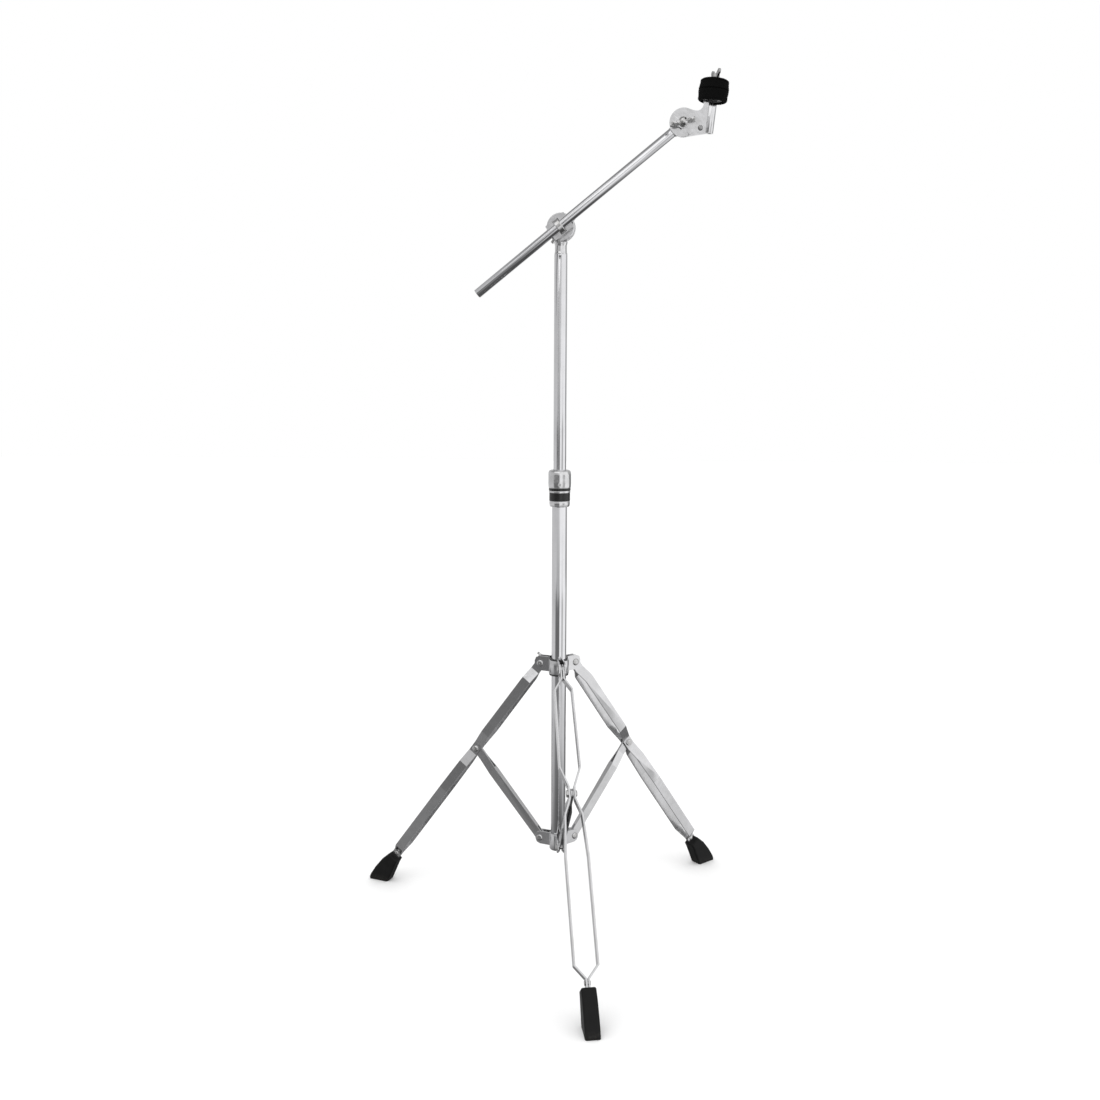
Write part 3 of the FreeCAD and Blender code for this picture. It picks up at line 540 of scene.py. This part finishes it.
def add_fibres(bm, shell, bore, seed):
    """Short loose fibres that stand off the skin."""
    rng = random.Random(seed)
    outside = [(c, n) for c, n in shell if math.hypot(c.x, c.y) > (bore + 2.5) * MM]
    for _ in range(2200):
        centre, normal = rng.choice(outside)
        side = Vector((rng.uniform(-1, 1), rng.uniform(-1, 1), rng.uniform(-1, 1))).cross(normal)
        if side.length < 1e-4:
            continue
        side.normalize()
        length = rng.uniform(0.5, 1.7) * MM
        lift = rng.uniform(0.10, 0.42) * MM
        wide = rng.uniform(0.018, 0.034) * MM
        curl = normal.cross(side) * rng.uniform(-0.5, 0.5) * MM
        start = centre - normal * 0.08 * MM
        spine = []
        for k in range(5):
            t = k / 4
            rise = lift * math.sin(math.pi * min(1.0, t * 0.85))
            spine.append(start + side * length * t + normal * rise + curl * t * t)
        across = normal.cross(side).normalized()
        last = None
        for k, p in enumerate(spine):
            w = wide * (1 - 0.7 * k / 4)
            ring = [bm.verts.new(p + across * w), bm.verts.new(p - across * w * 0.5 + normal * w * 0.87),
                    bm.verts.new(p - across * w * 0.5 - normal * w * 0.87)]
            if last:
                for i in range(3):
                    j = (i + 1) % 3
                    bm.faces.new((last[i], last[j], ring[j], ring[i]))
            last = ring


# ---------------------------------------------------------------- light and floor
# Brightness of the studio round the stand as polished metal sees it. Each row is a height (sine of the
# elevation) and its brightness by direction: degrees from the front, positive to the right.
STUDIO = [
    (-0.80, [(-180, 0.10), (-60, 0.14), (0, 0.10), (60, 0.07), (180, 0.09)]),
    (-0.46, [(-180, 0.46), (-64, 0.52), (-56, 0.26), (-6, 0.24), (6, 0.80), (40, 0.62), (100, 0.70),
             (114, 0.20), (150, 0.22), (180, 0.40)]),
    (-0.22, [(-180, 0.70), (-64, 0.66), (-56, 0.16), (-4, 0.15), (6, 1.0), (28, 1.0), (36, 0.52), (54, 0.50),
             (62, 1.0), (106, 1.0), (118, 0.20), (150, 0.22), (166, 0.8), (180, 0.8)]),
    (-0.10, [(-180, 0.60), (-64, 0.56), (-56, 0.18), (-4, 0.17), (6, 1.0), (28, 1.0), (36, 0.50), (54, 0.48),
             (62, 1.0), (106, 0.95), (118, 0.20), (150, 0.22), (166, 0.7), (180, 0.7)]),
    (-0.02, [(-180, 0.62), (-92, 0.60), (-84, 0.62), (-50, 0.60), (-42, 0.46), (-6, 0.44), (2, 1.0),
             (24, 1.0), (32, 0.86), (54, 0.86), (60, 1.0), (92, 1.0), (102, 0.36), (140, 0.40),
             (160, 0.9), (180, 0.9)]),
    (0.24, [(-180, 0.60), (-92, 0.55), (-20, 0.58), (0, 0.95), (90, 1.0), (104, 0.45), (150, 0.5),
            (180, 0.8)]),
    (0.70, [(-180, 0.26), (-110, 0.28), (-60, 0.40), (-10, 0.55), (20, 0.9), (100, 0.85), (130, 0.5),
            (180, 0.3)]),
]


def make_world():
    world = bpy.data.worlds.new("studio")
    bpy.context.scene.world = world
    world.use_nodes = True
    g = Graph(world.node_tree)
    g.nodes.clear()
    way = g.add("ShaderNodeTexCoord").outputs["Generated"]
    split = g.add("ShaderNodeSeparateXYZ")
    g.join(way, split.inputs[0])
    turn = g.math("ARCTAN2", split.outputs[0], g.math("MULTIPLY", split.outputs[1], -1.0))
    around = g.math("ADD", g.math("DIVIDE", turn, 2 * math.pi), 0.5)
    colour = None
    below = None
    for height, stops in STUDIO:
        row = g.ramp(around, [((a + 180) / 360, grey(v, v * 0.01)) for a, v in stops])
        if colour is None:
            colour = row
        else:
            colour = g.mix(g.span(split.outputs[2], below, height, 0, 1, smooth=True), colour, row)
        below = height
    shown = g.add("ShaderNodeBackground")
    shown.inputs["Color"].default_value = (1, 1, 1, 1)
    shown.inputs["Strength"].default_value = 1.0
    mirrored = g.add("ShaderNodeBackground")
    g.join(colour, mirrored.inputs["Color"])
    mirrored.inputs["Strength"].default_value = 1.08
    soft = g.add("ShaderNodeBackground")
    g.join(g.mix(g.span(split.outputs[2], -0.3, 0.6), grey(0.85), grey(1.0)), soft.inputs["Color"])
    soft.inputs["Strength"].default_value = 1.22
    path = g.add("ShaderNodeLightPath")
    first = g.add("ShaderNodeMixShader")
    g.join(path.outputs["Is Glossy Ray"], first.inputs[0])
    g.join(soft.outputs[0], first.inputs[1])
    g.join(mirrored.outputs[0], first.inputs[2])
    second = g.add("ShaderNodeMixShader")
    g.join(path.outputs["Is Camera Ray"], second.inputs[0])
    g.join(first.outputs[0], second.inputs[1])
    g.join(shown.outputs[0], second.inputs[2])
    out = g.add("ShaderNodeOutputWorld")
    g.join(second.outputs[0], out.inputs[0])


def make_floor():
    bpy.ops.mesh.primitive_plane_add(size=14, location=(0, 0, -0.0004))
    floor = bpy.context.object
    floor.name = "floor"
    made, g, shader = material("pale_floor")
    cloud = g.noise(g.place(), 3.0, 3.0)
    g.feed(shader.inputs["Base Color"], g.mix(cloud, grey(0.90), grey(0.88)))
    shader.inputs["Roughness"].default_value = 0.9
    shader.inputs["Specular IOR Level"].default_value = 0.0
    floor.data.materials.append(made)
    floor.visible_glossy = False


def make_lights():
    data = bpy.data.lights.new("overhead", "AREA")
    data.shape = "RECTANGLE"
    data.size = 2.2
    data.size_y = 1.6
    data.energy = 7.0
    lamp = bpy.data.objects.new("overhead", data)
    bpy.context.scene.collection.objects.link(lamp)
    lamp.location = (-0.9, -1.4, 2.3)
    aim = Vector((0, 0, 0.5)) - lamp.location
    lamp.rotation_euler = aim.to_track_quat("-Z", "Y").to_euler()
    lamp.visible_camera = False


# ---------------------------------------------------------------- build
make_camera()
paint_all()
soften_edges()
FELT = wool_felt("black_felt")
make_felt("felt_lower", base=34.4, height=12.4, low_r=16.9, high_r=17.3, bore=5.1, recess_r=12.9,
          recess_h=4.1, body="arm", node="lower_felt", seed=11)
make_felt("felt_upper", base=47.1, height=11.6, low_r=17.3, high_r=16.4, bore=5.3, recess_r=0,
          recess_h=0, body="felt_top", node="upper_felt", seed=23)
make_world()
make_floor()
make_lights()
scene = bpy.context.scene
scene.view_settings.view_transform = "Standard"
scene.view_settings.look = "None"
scene.view_settings.exposure = 0.0
scene.view_settings.gamma = 1.0
